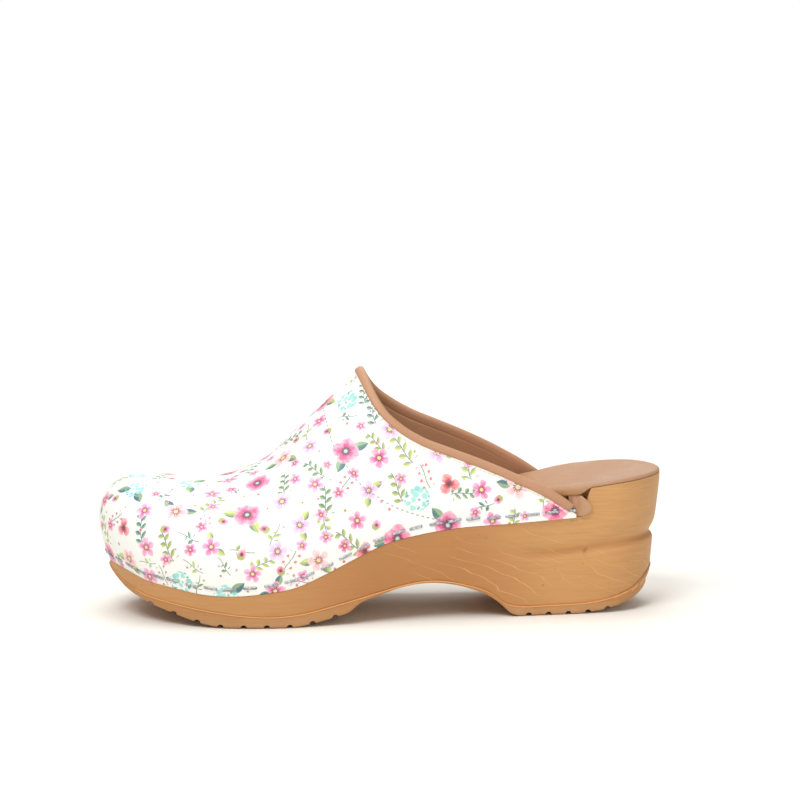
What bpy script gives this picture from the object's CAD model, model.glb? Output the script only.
"""A closed-toe clog with an open back: a floral leather upper stapled to a moulded sole."""

import math
import random

import bmesh
import bpy
import numpy as np
from mathutils import Matrix, Vector


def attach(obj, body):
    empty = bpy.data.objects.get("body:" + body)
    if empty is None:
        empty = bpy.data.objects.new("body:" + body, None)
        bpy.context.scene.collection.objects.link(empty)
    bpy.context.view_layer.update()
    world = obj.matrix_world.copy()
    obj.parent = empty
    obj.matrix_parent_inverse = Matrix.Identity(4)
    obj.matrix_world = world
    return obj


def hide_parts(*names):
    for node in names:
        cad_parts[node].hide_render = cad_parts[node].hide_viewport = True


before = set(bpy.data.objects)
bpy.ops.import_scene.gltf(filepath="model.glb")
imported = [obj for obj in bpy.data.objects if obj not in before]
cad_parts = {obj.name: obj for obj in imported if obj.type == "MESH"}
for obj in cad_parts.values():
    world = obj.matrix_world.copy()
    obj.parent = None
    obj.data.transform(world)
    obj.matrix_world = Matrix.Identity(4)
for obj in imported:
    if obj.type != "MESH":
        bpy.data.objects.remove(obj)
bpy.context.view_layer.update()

bl_info = {
    "name": "Closed-toe clog",
    "version": (1, 0, 0),
    "blender": (4, 5, 0),
    "location": "View3D > Sidebar > Clog",
    "description": "Builds a floral clog with a moulded wood-look sole around its packed frame",
    "category": "Add Mesh",
}

MM = 0.001
BODY = "root"
SEED = 7

# ---------------------------------------------------------------- curves along the clog
# Every pair is a place along the clog and a height or width there, in millimetres.

HEEL_CENTRE = (99.5, 2.0)
HEEL_RADIUS = 33.5
OUTER_SIDE = [(58, -33), (18, -36.5), (-22, -45), (-57, -49.5), (-87, -44), (-114, -26)]
TOE_TIP = (-128.5, 6)
INNER_SIDE = [(-114, 35), (-87, 48.5), (-57, 47.5), (-22, 38.5), (18, 33), (58, 34.5)]
ARC_STEPS = 8


def curve(*points):
    """A smooth function through hand-set points, in metres."""
    xs, values = np.array(points, float).T * MM
    slopes = np.gradient(values, xs)

    def at(x):
        x = np.clip(x, xs[0], xs[-1])
        i = np.clip(np.searchsorted(xs, x) - 1, 0, len(xs) - 2)
        step = xs[i + 1] - xs[i]
        t = (x - xs[i]) / step
        start, end = values[i], values[i + 1]
        lift = slopes[i] * step * (t - 2 * t**2 + t**3) + slopes[i + 1] * step * (t**3 - t**2)
        return start + (end - start) * (3 * t**2 - 2 * t**3) + lift

    return at


def fade(x, low, high):
    """Rises smoothly from 0 at low to 1 at high, both in millimetres."""
    t = np.clip((x / MM - low) / (high - low), 0, 1)
    return t * t * (3 - 2 * t)


sole_bottom = curve(
    (-136, 27), (-128, 19.6), (-122, 14.2), (-112, 9.4), (-100, 5.4), (-89, 2.1), (-78, 0.2), (-70, 0),
    (-44, 0), (-34, 1.6), (-24, 4.0), (-18, 6.0), (-14.5, 8.8), (-4, 13.0), (7, 16.2), (18, 17.4),
    (29, 16.5),
    (38, 14.2), (46, 11), (52.5, 6.6), (58.5, 1.2), (62, 0), (90, 0), (101, 1.0), (112, 3.4), (121, 7),
    (128, 12), (136, 20))


def ground(x):
    """The underside's height: nothing dips under the floor."""
    return np.maximum(sole_bottom(x), 0)


tread_line = curve(
    (-136, 30), (-124, 18.6), (-114.6, 13.9), (-101, 10.8), (-84, 8), (-70, 6.2), (-56, 5.3), (-42, 6.2),
    (-23, 10.1), (-4, 14.7), (8, 17.4), (20, 18.6), (30, 17.6), (38, 15.6), (48, 11.9), (56, 6.2), (61, 5),
    (76, 4.8), (100, 5.9), (112, 8.4), (121, 11.6), (128, 16), (136, 22))
feather = curve(
    (-136, 26), (-128.5, 24.6), (-121, 23), (-112, 19.9), (-100, 17.7), (-86, 15.4), (-72, 14.9),
    (-58, 16.2), (-44, 18.6), (-30, 24.2), (-14, 31.8), (-2, 36.8), (14, 40.4), (30, 42.6),
    (60, 44.4), (95, 47))
seat_edge = curve(
    (-136, 36), (-110, 30), (-90, 27), (-65, 26), (-42, 30), (-10, 42), (15, 48.5), (45, 52.5), (75, 55.3),
    (86, 56.6), (91, 57.6), (94.5, 60), (100, 61), (115, 62.7), (126, 63.7), (136, 64.2))
seat_top = curve(
    (-136, 37), (-110, 31), (-90, 28), (-65, 27), (-42, 31), (-10, 43), (15, 49.5), (45, 54), (75, 59.4),
    (86, 61.2), (94.5, 62.3), (104, 63.2), (115, 64.4), (126, 65.3), (136, 65.4))
bulge = curve((-134, 4.6), (-112, 4.3), (-92, 3.4), (-60, 2.4), (-32, 1.2), (-4, 0.4), (20, 0), (100, 0))
widest = curve((-134, 46.5), (-114, 40), (-96, 35), (-76, 32), (-56, 32), (-40, 34), (-20, 39), (10, 47),
               (60, 56), (100, 60))
crest = curve(
    (-118, 64.4), (-108, 64.0), (-98, 63.3), (-88, 62.8), (-79, 62.9), (-72, 63.9), (-66, 65.9), (-59, 69),
    (-52, 73.2), (-46, 79), (-38, 87), (-28, 96.2), (-19, 105.4), (-11, 113.2), (-2, 120),
    (16, 125), (100, 126))
crest_side = curve((-118, 5.5), (-60, 4), (-20, 3), (100, 3))
squareness = curve((-134, 1.05), (-100, 1.0), (-60, 0.9), (-30, 0.8), (0, 0.78), (100, 0.78))
edge_outer = curve(
    (-20, 135), (-11.5, 117.5), (-9, 112.2), (-4.7, 101.4), (0, 93), (6, 87), (16.3, 80.6), (28.3, 76.4),
    (40.4, 72.6), (52.5, 68.4), (64, 63.9), (75, 59.5), (84, 54.6), (90, 50), (97, 45))
edge_inner = curve(
    (-20, 135), (-11.5, 120), (-8, 115.9), (-3, 110.4), (1, 107), (7, 102.8), (15, 97.8), (28, 91.1),
    (43.6, 83), (59.3, 74), (70, 67), (78, 60.9), (86, 54.6), (91, 50.4), (97, 46))
groove_ledge = curve((40, 26.6), (58, 26.4), (76, 26.0), (100, 28.6), (120, 31.6), (136, 33))
heel_flare = curve(
    (-2, 5.0), (10, 4.8), (22, 4.0), (30, 3.3), (38, 2.7), (46, 1.6), (54, 0.7), (60, 0.1), (70, 0))
INSTEP_LINE = curve(
    (-40, 155), (-32, 125), (-27, 90), (-18, 71), (-4, 58), (14, 49.5), (32, 46), (60, 50))
CREST_START = -114 * MM
EDGE_SPREAD = 70 * MM
UPPER_END = 88.3 * MM
RING_POINTS = 300
SKIN_STEP = 0.4 * MM
HALVINGS = 40
TAB_END = 95.4 * MM


# ---------------------------------------------------------------- the plan of the sole
def plan_ring():
    """The sole's outline and its outward normals, closely spaced, from the heel round the outer side."""
    cx, cy = HEEL_CENTRE
    angles = [math.pi / 2 * k / ARC_STEPS for k in range(ARC_STEPS + 1)]
    arc = [(cx + HEEL_RADIUS * math.cos(a), HEEL_RADIUS * math.sin(a)) for a in angles]
    points = [(x, cy - y) for x, y in arc] + OUTER_SIDE + [TOE_TIP] + INNER_SIDE
    points += [(x, cy + y) for x, y in arc[:0:-1]]
    points = np.array(points) * MM
    before, after = np.roll(points, 1, 0), np.roll(points, -1, 0)
    gap_before = np.linalg.norm(points - before, axis=1)[:, None]
    gap_after = np.linalg.norm(after - points, axis=1)[:, None]
    slope = ((points - before) / gap_before * gap_after + (after - points) / gap_after * gap_before)
    slope /= gap_before + gap_after
    ring = []
    for i, gap in enumerate(gap_after[:, 0]):
        nxt = (i + 1) % len(points)
        t = np.linspace(0, 1, 160, endpoint=False)[:, None]
        ring.append(points[i] * (1 - 3 * t**2 + 2 * t**3) + points[nxt] * (3 * t**2 - 2 * t**3)
                    + slope[i] * gap * (t - 2 * t**2 + t**3) + slope[nxt] * gap * (t**3 - t**2))
    ring = np.vstack(ring)
    along = np.roll(ring, -1, 0) - np.roll(ring, 1, 0)
    normal = np.stack([-along[:, 1], along[:, 0]], 1)
    return ring, normal / np.linalg.norm(normal, axis=1)[:, None]


RING, RING_NORMAL = plan_ring()
TIP = int(np.argmin(RING[:, 0]))
RING_LENGTH = np.concatenate([[0], np.cumsum(np.linalg.norm(np.diff(RING, axis=0), axis=1))])


def on_ring(length):
    """Outline points and normals at lengths measured round the sole from the back of the heel."""
    place = [np.interp(length, RING_LENGTH, RING[:, k]) for k in (0, 1)]
    normal = [np.interp(length, RING_LENGTH, RING_NORMAL[:, k]) for k in (0, 1)]
    return np.stack(place, -1), np.stack(normal, -1)


def length_at(x, outer):
    """How far round the outline a place along the clog lies."""
    if outer:
        return np.interp(-x, -RING[:TIP + 1, 0], RING_LENGTH[:TIP + 1])
    return np.interp(x, RING[TIP:, 0], RING_LENGTH[TIP:])


def paired_ring(count):
    """Outline lengths spaced so that the two sides have points at the same places along the clog."""
    outer = np.linspace(0, RING_LENGTH[TIP], count)
    x = on_ring(outer)[0][:, 0]
    inner = length_at(x[1:-1], False)
    return np.concatenate([outer, inner[::-1]])


# ---------------------------------------------------------------- mesh helpers
def make_piece(name, verts, faces, material, shell=False, merge=1e-6):
    """A mesh object at the origin with merged doubles and outward faces, riding on the clog.

    A shell is open, so its faces are turned away from a point well below its middle.
    """
    mesh = bpy.data.meshes.new(name)
    mesh.from_pydata([tuple(v) for v in verts], [], faces)
    work = bmesh.new()
    work.from_mesh(mesh)
    bmesh.ops.remove_doubles(work, verts=work.verts, dist=merge)
    bmesh.ops.dissolve_degenerate(work, edges=work.edges, dist=merge)
    bmesh.ops.recalc_face_normals(work, faces=work.faces)
    if shell:
        below = Vector(np.mean(verts, axis=0)) - Vector((0, 0, 100 * MM))
        turn = sum((f.calc_center_median() - below).dot(f.normal) * f.calc_area() for f in work.faces)
        if turn < 0:
            bmesh.ops.reverse_faces(work, faces=work.faces)
    work.to_mesh(mesh)
    work.free()
    mesh.polygons.foreach_set("use_smooth", [True] * len(mesh.polygons))
    piece = bpy.data.objects.new(name, mesh)
    bpy.context.scene.collection.objects.link(piece)
    mesh.materials.append(material)
    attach(piece, BODY)
    return piece


def grid_faces(rows, columns, closed=False):
    """Quads between the rows and columns of a grid, closed round its columns if asked."""
    faces = []
    for r in range(rows - 1):
        for c in range(columns if closed else columns - 1):
            d = (c + 1) % columns
            faces.append((r * columns + c, r * columns + d, (r + 1) * columns + d, (r + 1) * columns + c))
    return faces


def stacked(rows):
    """Rows of points, each an array of places, as one list of points."""
    return np.vstack([np.stack(np.broadcast_arrays(*row), -1) for row in rows])


def thicken(piece, thickness):
    """Gives an open surface a wall on its inner side."""
    wall = piece.modifiers.new("wall", "SOLIDIFY")
    wall.thickness = thickness
    wall.offset = -1
    wall.use_rim = True
    return wall


def crease_by_angle(piece, degrees):
    """Shades smooth except across edges sharper than an angle."""
    mesh = piece.data
    work = bmesh.new()
    work.from_mesh(mesh)
    for edge in work.edges:
        edge.smooth = len(edge.link_faces) < 2 or edge.calc_face_angle(0) < math.radians(degrees)
    work.to_mesh(mesh)
    work.free()


# ---------------------------------------------------------------- the sole
def heel_inset(x, z):
    """How far the moulded wall stands in from the outline: heel taper and its groove."""
    taper = heel_flare(z) * fade(x, 30, 112)
    depth = 1.95 * MM * fade(x, 50, 76)
    above = (z - groove_ledge(x)) / MM - 2.6
    return taper + depth * np.exp(-(above / np.where(above > 0, 3.6, 1.5)) ** 2)


def wall_point(place, normal, inset, z):
    """A point on a wall that stands in from the outline."""
    spot = place - normal * np.asarray(inset)[..., None]
    return spot[:, 0], spot[:, 1], z


def toward_spine(row, place, share):
    """Moves a row of points towards the clog's middle line."""
    x, y, z = row
    spine_x = np.clip(place[:, 0], -84 * MM, 99 * MM)
    middle = np.interp(spine_x, [-84 * MM, -22 * MM, 99 * MM], [2.2 * MM, -3.2 * MM, 2 * MM])
    return x * (1 - share) + spine_x * share, y * (1 - share) + middle * share, z


def capped(row, place, height, shares):
    """Rows that carry a ring in to the middle line at the heights of a function of place."""
    rows = []
    for share in shares:
        x, y, _ = toward_spine(row, place, share)
        rows.append((x, y, height(x, y)))
    return rows


def build_sole_body(material):
    """The moulded sole: tapered grooved heel, rebate under the upper and a bed for the foam."""
    place, normal = on_ring(paired_ring(RING_POINTS))
    x = place[:, 0]
    low = tread_line(x)
    behind = fade(x, 91.5, 95.4)
    top = feather(x) * (1 - behind) + (seat_edge(x) - 0.15 * MM) * behind
    ledge = 3.8 * MM * (1 - behind) + 1.6 * MM * behind
    bed = seat_top(x) - 1.5 * MM
    rows = []
    base = wall_point(place, normal, heel_inset(x, low) + 0.25 * MM, low)
    rows += capped(base, place, lambda px, py: tread_line(px), (1, 0.6, 0.3, 0.12, 0.04))
    rows.append(base)
    for share, lip in ((0.008, 0.08), (0.03, 0)):
        z = low + (top - low) * share
        rows.append(wall_point(place, normal, heel_inset(x, z) + lip * MM, z))
    for share in np.linspace(0.05, 0.985, 46):
        z = low + (top - low) * share
        rows.append(wall_point(place, normal, heel_inset(x, z), z))
    edge = heel_inset(x, top)
    rows.append(wall_point(place, normal, edge + 0.12 * MM, top - 0.12 * MM))
    rows.append(wall_point(place, normal, edge + 0.4 * MM, top))
    rows.append(wall_point(place, normal, edge + ledge, top))
    rows.append(wall_point(place, normal, edge + ledge + 0.4 * MM, bed - 1.2 * MM * behind))
    rows.append(wall_point(place, normal, np.full_like(x, 6.2 * MM), bed))
    rows.append(wall_point(place, normal, np.full_like(x, 9 * MM), bed))
    floor = wall_point(place, normal, np.full_like(x, 9 * MM), bed - 4.2 * MM)
    rows.append(floor)
    rows += capped(floor, place, lambda px, py: seat_top(px) - 5.7 * MM, (0.2, 0.5, 1))
    count = len(place)
    piece = make_piece("sole_moulding", stacked(rows), grid_faces(len(rows), count, True), material)
    crease_by_angle(piece, 50)
    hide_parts("sole_body")
    return piece


TREAD_ROWS = [(-110, -24, 10.6), (66.5, 105, 9.5)]


def build_outsole(material, sizes):
    """The tread layer: rounded bottom edge and half-round grooves cut right across."""
    place, normal = on_ring(paired_ring(RING_POINTS))
    x = place[:, 0]
    high = tread_line(x)
    low = ground(x)
    depth = high - low
    taper = heel_inset(x, high)
    rows = []
    top = wall_point(place, normal, taper + 0.35 * MM, high)
    rows += capped(top, place, lambda px, py: tread_line(px), (1, 0.6, 0.3, 0.12, 0.04))
    rows.append(top)
    rows.append(wall_point(place, normal, taper - 0.32 * MM, high - 0.12 * MM))
    rows.append(wall_point(place, normal, taper - 0.4 * MM, high - 0.45 * MM))
    rows.append(wall_point(place, normal, taper - 0.1 * MM, high - 0.9 * MM))
    swell = np.minimum(depth * 0.45, 1.3 * MM)
    for share in (0.3, 0.6):
        rows.append(wall_point(place, normal, taper - 0.1 * MM, high - (depth - swell) * share))
    for angle in np.linspace(0, math.pi / 2, 7):
        inset = taper + swell * (1 - math.cos(angle))
        z = low + swell * (1 - math.sin(angle))
        rows.append(wall_point(place, normal, inset, z))
    rows += capped(rows[-1], place, lambda px, py: ground(px), (0.02, 0.05, 0.1, 0.2, 0.35, 0.6, 1))
    count = len(place)
    piece = make_piece("tread_layer", stacked(rows), grid_faces(len(rows), count, True), material)
    cutters = bmesh.new()
    for first, last, pitch in TREAD_ROWS:
        for index in range(round((last - first) / pitch) + 1):
            at = (first + index * pitch) * MM
            turn = Matrix.Translation((at, 0, float(ground(at)))) @ Matrix.Rotation(math.pi / 2, 4, "X")
            bmesh.ops.create_cone(cutters, cap_ends=True, segments=20, radius1=sizes.groove,
                                  radius2=sizes.groove, depth=150 * MM, matrix=turn)
    mesh = bpy.data.meshes.new("tread_cutters")
    cutters.to_mesh(mesh)
    cutters.free()
    tool = bpy.data.objects.new("tread_cutters", mesh)
    bpy.context.scene.collection.objects.link(tool)
    cut = piece.modifiers.new("grooves", "BOOLEAN")
    cut.operation = "DIFFERENCE"
    cut.solver = "EXACT"
    cut.object = tool
    make_plain(piece)
    bpy.data.objects.remove(tool)
    lip = [abs(face.center.z - float(tread_line(face.center.x))) < 0.4 * MM for face in piece.data.polygons]
    piece.data.attributes.new("lip", "FLOAT", "FACE").data.foreach_set("value", np.array(lip, float))
    crease_by_angle(piece, 38)
    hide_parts("outsole")
    return piece


def make_plain(piece):
    """Turns a piece's modifiers into plain mesh."""
    graph = bpy.context.evaluated_depsgraph_get()
    mesh = bpy.data.meshes.new_from_object(piece.evaluated_get(graph), depsgraph=graph)
    piece.modifiers.clear()
    piece.data = mesh


def sock_dish(x, share):
    """How far the sock sinks a share of the way in from the rim."""
    return (1.4 + 1.4 * fade(x, 20, 90)) * MM * (share * (2 - share)) ** 1.2


def build_footbed_cover(material, sizes):
    """The leather sock: dished over the footbed and rolled down over the heel's rim."""
    place, normal = on_ring(paired_ring(RING_POINTS))
    x = place[:, 0]
    inside = 1 - fade(x, 76, 92)
    inset = 4.3 * MM * inside + 0.05 * MM
    roll = 2.7 * MM
    edge, top = seat_edge(x) + 0.1 * MM, seat_top(x)
    taper = heel_inset(x, edge)
    radius = np.minimum(roll, (top - edge) * 0.9)
    rows = [wall_point(place, normal, inset + taper, edge),
            wall_point(place, normal, inset + taper, edge * 0.5 + (top - radius) * 0.5)]
    for angle in np.linspace(0, math.pi / 2, 9):
        rows.append(wall_point(place, normal, inset + taper + radius * (1 - math.cos(angle)),
                               top - radius * (1 - math.sin(angle))))
    last_ring = rows[-1]
    for share in (0.04, 0.1, 0.18, 0.28, 0.4, 0.53, 0.66, 0.8, 0.92, 1):
        px, py, _ = toward_spine(last_ring, place, share)
        rows.append((px, py, seat_top(px) - sock_dish(px, share)))
    count = len(place)
    piece = make_piece("footbed_sock", stacked(rows), grid_faces(len(rows), count, True), material,
                       shell=True)
    thicken(piece, sizes.sock)
    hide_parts("footbed_cover")
    return piece


def build_footbed_foam(material):
    """The cushion in the footbed's recess, crowned to the underside of the sock."""
    place, normal = on_ring(paired_ring(180))
    x = place[:, 0]
    rim = 9.4 * MM
    bottom, top = seat_top(x) - 5.6 * MM, seat_top(x) - 3.4 * MM
    rows = [wall_point(place, normal, rim + 0 * x, bottom), wall_point(place, normal, rim + 0 * x, top)]
    soft = wall_point(place, normal, rim + 0.6 * MM + 0 * x, top + 0.4 * MM)
    rows = capped(rows[0], place, lambda px, py: seat_top(px) - 5.6 * MM, (1, 0.4)) + rows + [soft]
    for share in (0.1, 0.25, 0.45, 0.7, 1):
        px, py, _ = toward_spine(soft, place, share)
        rows.append((px, py, seat_top(px) - 2.1 * MM - sock_dish(px, share)))
    count = len(place)
    faces = grid_faces(len(rows), count, True)
    piece = make_piece("footbed_cushion", stacked(rows), faces, material)
    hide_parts("footbed_foam")
    return piece


# ---------------------------------------------------------------- the upper's surface
FLUSH = 0.35 * MM


def form(length, rise):
    """The last's skin. rise is -1 at the feather line, 0 at the widest line and 1 on the crest."""
    place, normal = on_ring(length)
    x = place[..., 0]
    foot = place + normal * FLUSH
    wide = place + normal * (FLUSH + bulge(x))[..., None]
    low, mid = feather(x), widest(x)
    spine_x = np.maximum(x, CREST_START)
    spine = np.stack([spine_x, crest_side(spine_x)], -1)
    below = np.clip(1 + rise, 0, 1)
    angle = np.clip(rise, 0, 1) * math.pi / 2
    run = (1 - np.cos(angle)) ** squareness_at(x)
    flat = foot + (wide - foot) * np.sin(below * math.pi / 2)[..., None]
    flat = flat + (spine - wide) * run[..., None]
    height = low + (mid - low) * below + (crest(spine_x) - mid) * np.sin(angle)
    return np.concatenate([flat, height[..., None]], -1)


def squareness_at(x):
    """How square the section over the foot is, which is a plain number."""
    return squareness(x) / MM


def edge_height(x, y, drop=0.0):
    """The height of the opening's edge, which is higher on the inner side of the foot."""
    share = np.clip(y / (2 * EDGE_SPREAD) + 0.5, 0, 1)
    outer, inner = edge_outer(x + 0.55 * drop), edge_inner(x + 0.55 * drop)
    return outer * (1 - share) + inner * share - 0.83 * drop


def rise_at(length, height):
    """Where the last's skin passes a height that depends on the place, by halving."""
    low, high = np.full(length.shape, -1.0), np.ones(length.shape)
    for _ in range(HALVINGS):
        middle = (low + high) / 2
        spot = form(length, middle)
        above = spot[..., 2] > height(spot[..., 0], spot[..., 1])
        low, high = np.where(above, low, middle), np.where(above, middle, high)
    return high


def edge_rise(length, drop):
    """Where on the last's skin the opening's edge lies."""
    return rise_at(length, lambda x, y: edge_height(x, y, drop))


def skin_slopes(length, rise):
    """Short steps ahead round the clog and up over the last's skin from given places."""
    ahead = form(length + SKIN_STEP, rise) - form(length - SKIN_STEP, rise)
    above = np.minimum(rise + 0.004, 1)
    return ahead, form(length, above) - form(length, above - 0.01)


def edge_front(drop):
    """Where along the clog the opening's edge crosses the crest, by halving."""
    back, front = 0.0, -20 * MM
    for _ in range(50):
        x = (back + front) / 2
        if crest(x) > edge_height(x, crest_side(x), drop):
            back = x
        else:
            front = x
    return x


def edge_line(drop, end, outer, count):
    """Evenly spaced outline lengths and rises along the opening's edge, from the back to its front."""
    front = edge_front(drop)
    x = end + (front - end) * np.sin(np.linspace(0, math.pi / 2, 1500))
    length = length_at(x, outer)
    rise = edge_rise(length, drop)
    rise[-1] = 1.0
    spots = form(length, rise)
    gone = np.concatenate([[0], np.cumsum(np.linalg.norm(np.diff(spots, axis=0), axis=1))])
    even = np.linspace(0, gone[-1], count)
    return np.interp(even, gone, length), np.interp(even, gone, rise)


def form_columns(drop, end, edge_count, crest_count, toe_count, fan_start=-40 * MM):
    """Columns over the last: each runs from the feather line up to the opening's edge or the crest."""
    sides = []
    front_x = edge_front(drop)
    for outer in (True, False):
        top_length, top_rise = edge_line(drop, end, outer, edge_count)
        foot = np.linspace(length_at(end, outer), length_at(fan_start, outer), edge_count)
        side = list(zip(foot, top_length, top_rise))
        for step in range(1, crest_count + 1):
            share = step / crest_count
            spine = front_x + (CREST_START - front_x) * share
            x = fan_start + (CREST_START - fan_start) * share
            side.append((float(length_at(x, outer)), float(length_at(spine, outer)), 1.0))
        sides.append(side)
    columns = list(sides[0])
    first, last = sides[0][-1][0], sides[1][-1][0]
    for step in range(1, toe_count):
        length = first + (last - first) * step / toe_count
        columns.append((length, length, 1.0))
    columns += sides[1][::-1]
    return np.array(columns)


def skin_points(columns, rows, start=-1.0):
    """Points over the last's skin, one row for each share of the way up the columns."""
    shares = np.linspace(0, 1, rows)[:, None]
    foot, top, rise = columns[None, :, 0], columns[None, :, 1], columns[None, :, 2]
    slide = shares ** 1.4
    return form(foot + (top - foot) * slide, start + (rise - start) * shares)


def skin_normals(points, on_crest=None):
    """Outward normals of a grid of points. Columns that end on the crest share one upright normal."""
    across = np.gradient(points, axis=1)
    up = np.gradient(points, axis=0)
    normal = np.cross(across, up)
    length = np.linalg.norm(normal, axis=-1, keepdims=True)
    normal = np.where(length > 1e-12, normal / np.maximum(length, 1e-12), [0, 0, 1])
    middle = np.stack([np.maximum(points[..., 0], -95 * MM), np.full(points.shape[:2], 2 * MM),
                       points[..., 2] - 20 * MM], -1)
    sign = np.sign(((points - middle) * normal).sum(-1, keepdims=True))
    normal = normal * np.where(sign == 0, 1, sign)
    if on_crest is not None:
        x = points[-1, on_crest, 0]
        slope = (crest(x + 0.5 * MM) - crest(x - 0.5 * MM)) / MM
        upright = np.stack([-slope, np.zeros_like(slope), np.ones_like(slope)], -1)
        normal[-1, on_crest] = upright / np.linalg.norm(upright, axis=-1, keepdims=True)
    return normal


def fold_depth(points):
    """How deep the soft fold along the lower end of the instep seam is at given points."""
    x, z = points[..., 0], points[..., 2]
    reach = fade(x, -26, -4) * (1 - fade(x, 34, 62))
    return 0.45 * MM * reach * np.exp(-((z - INSTEP_LINE(x)) / (3.2 * MM)) ** 2)


# ---------------------------------------------------------------- the upper's layers
UPPER = 1.6 * MM


def skin_piece(name, columns, rows, offset, thickness, material):
    """A layer of the upper: the last's skin moved along its normals, with a wall on its inner side."""
    points = skin_points(columns, rows)
    normals = skin_normals(points, columns[:, 2] >= 1)
    points = points + normals * (offset - fold_depth(points)[..., None])
    count = len(columns)
    piece = make_piece(name, points.reshape(-1, 3), grid_faces(rows, count), material, True, 2e-6)
    thicken(piece, thickness)
    return piece


def build_upper(material, sizes):
    """The printed leather upper, lapped on the sole."""
    columns = form_columns(3.0 * MM, UPPER_END, 130, 70, 90)
    piece = skin_piece("printed_upper", columns, 68, 0.0, sizes.upper, material)
    lay_print(piece)
    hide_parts("upper_vamp")
    return piece


def build_lining(material, sizes):
    """The brown lining, whose rear corners reach past the upper."""
    columns = form_columns(3.0 * MM, UPPER_END, 90, 50, 60)
    points = skin_points(columns, 48)
    normals = skin_normals(points, columns[:, 2] >= 1)
    points = points - normals * (UPPER + 0.08 * MM + fold_depth(points)[..., None])
    verts = list(points.reshape(-1, 3))
    faces = grid_faces(48, len(columns))
    for outer in (True, False):
        start = len(verts)
        x = 85 * MM + (TAB_END - 85 * MM) * np.sin(np.linspace(0, math.pi / 2, 18))
        length = length_at(x, outer)
        place, normal = on_ring(length)
        tip = np.sqrt(np.clip(1 - ((x - 90.4 * MM) / (TAB_END - 90.3 * MM)) ** 2, 0, 1))
        tip = np.where(x < 90.4 * MM, 1, tip)
        low = feather(x) + 0.2 * MM
        high = (57.2 - 1.6 * fade(x, 88, 93.5)) * MM
        proud = fade(x, 88.6, 91.6)
        middle = high * 0.42 + low * 0.58
        for share in np.linspace(0, 1, 10):
            z = middle + ((low + (high - low) * share) - middle) * np.maximum(tip, 0.03)
            inset = (UPPER - FLUSH + 0.35 * MM + 0.5 * MM * share) * (1 - proud) - 0.3 * MM * proud
            spots = place - normal * inset[:, None]
            verts += list(np.stack([spots[:, 0], spots[:, 1], z], 1))
        for face in grid_faces(10, 18):
            faces.append(tuple(start + k for k in face))
    piece = make_piece("leather_lining", verts, faces, material, True, 2e-6)
    thicken(piece, sizes.lining)
    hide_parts("vamp_lining")
    return piece


def build_toe_puff(material):
    """The stiffener between upper and lining over the toes."""
    first, last = float(length_at(-92 * MM, True)), float(length_at(-92 * MM, False))
    lengths = np.linspace(first, last, 70)
    columns = np.stack([lengths, lengths, np.full(70, 0.93)], 1)
    points = skin_points(columns, 24, -0.6)
    points = points - skin_normals(points) * (UPPER + 0.02 * MM)
    piece = make_piece("toe_stiffener", points.reshape(-1, 3), grid_faces(24, 70), material,
                       True)
    thicken(piece, 0.05 * MM)
    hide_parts("toe_puff")
    return piece


def edge_path(drop, end, count):
    """Points, outward normals and upward directions along the opening's edge, right round."""
    line = []
    for outer in (True, False):
        length, rise = edge_line(drop, end, outer, count)
        here = form(length, rise)
        normal = np.cross(*skin_slopes(length, rise))
        side = np.sign((normal * (here - [0, 2 * MM, 40 * MM])).sum(-1, keepdims=True))
        normal = normal * side / np.linalg.norm(normal, axis=-1, keepdims=True)
        line.append((here, normal))
    here = np.vstack([line[0][0], line[1][0][-2::-1]])
    normal = np.vstack([line[0][1], line[1][1][-2::-1]])
    front = len(line[0][0]) - 1
    for _ in range(6):
        for k in range(front - 6, front + 7):
            normal[k] = normal[k - 1] + normal[k] + normal[k + 1]
            normal[k] /= np.linalg.norm(normal[k])
    along = np.gradient(here, axis=0)
    along /= np.linalg.norm(along, axis=1, keepdims=True)
    up = np.cross(normal, along)
    up *= np.sign(up[:, 2:3])
    return here, normal, up


def sweep(name, path, outline, material, ends=True):
    """Carries a closed outline of (outward, upward) pairs along a path, with rounded ends."""
    here, normal, up = path
    rows = []
    tips = np.ones(len(here))
    if ends:
        tips[[0, -1]] = 0.55
        tips[[1, -2]] = 0.9
    for out_by, up_by in outline:
        rows.append(here + normal * (out_by * tips)[:, None] + up * (up_by * tips)[:, None])
    grid = np.array(rows).transpose(1, 0, 2)
    count = len(outline)
    faces = grid_faces(len(here), count, True)
    faces += [tuple(range(count)), tuple((len(here) - 1) * count + k for k in range(count))]
    return make_piece(name, grid.reshape(-1, 3), faces, material)


def build_binding(material):
    """The rolled leather edge of the opening."""
    path = edge_path(0.0, 87.4 * MM, 150)
    outline = []
    for angle in np.linspace(0, math.pi, 13):
        half = 2.1 * MM if angle < math.pi / 2 else 1.65 * MM
        outline.append((-1.45 * MM + half * math.cos(angle), -2.1 * MM + 2.1 * MM * math.sin(angle)))
    lip = ((-3.02, -3.3), (-2.92, -4.6), (-2.5, -5.2), (-1.45, -3.7))
    outline += [(across * MM, up * MM) for across, up in lip]
    outline += [(0.0, -4.25 * MM), (0.5 * MM, -3.9 * MM), (0.65 * MM, -3.2 * MM)]
    piece = sweep("rolled_edge", path, outline, material)
    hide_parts("topline_binding")
    return piece


def build_edge_cord(material):
    """The cord core inside the rolled edge."""
    path = edge_path(0.0, 84 * MM, 100)
    outline = []
    for angle in np.linspace(0, 2 * math.pi, 12, endpoint=False):
        outline.append((-1.45 * MM + 0.75 * MM * math.cos(angle), -2.1 * MM + 0.75 * MM * math.sin(angle)))
    piece = sweep("edge_cord", path, outline, material)
    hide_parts("binding_cord")
    return piece


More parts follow.
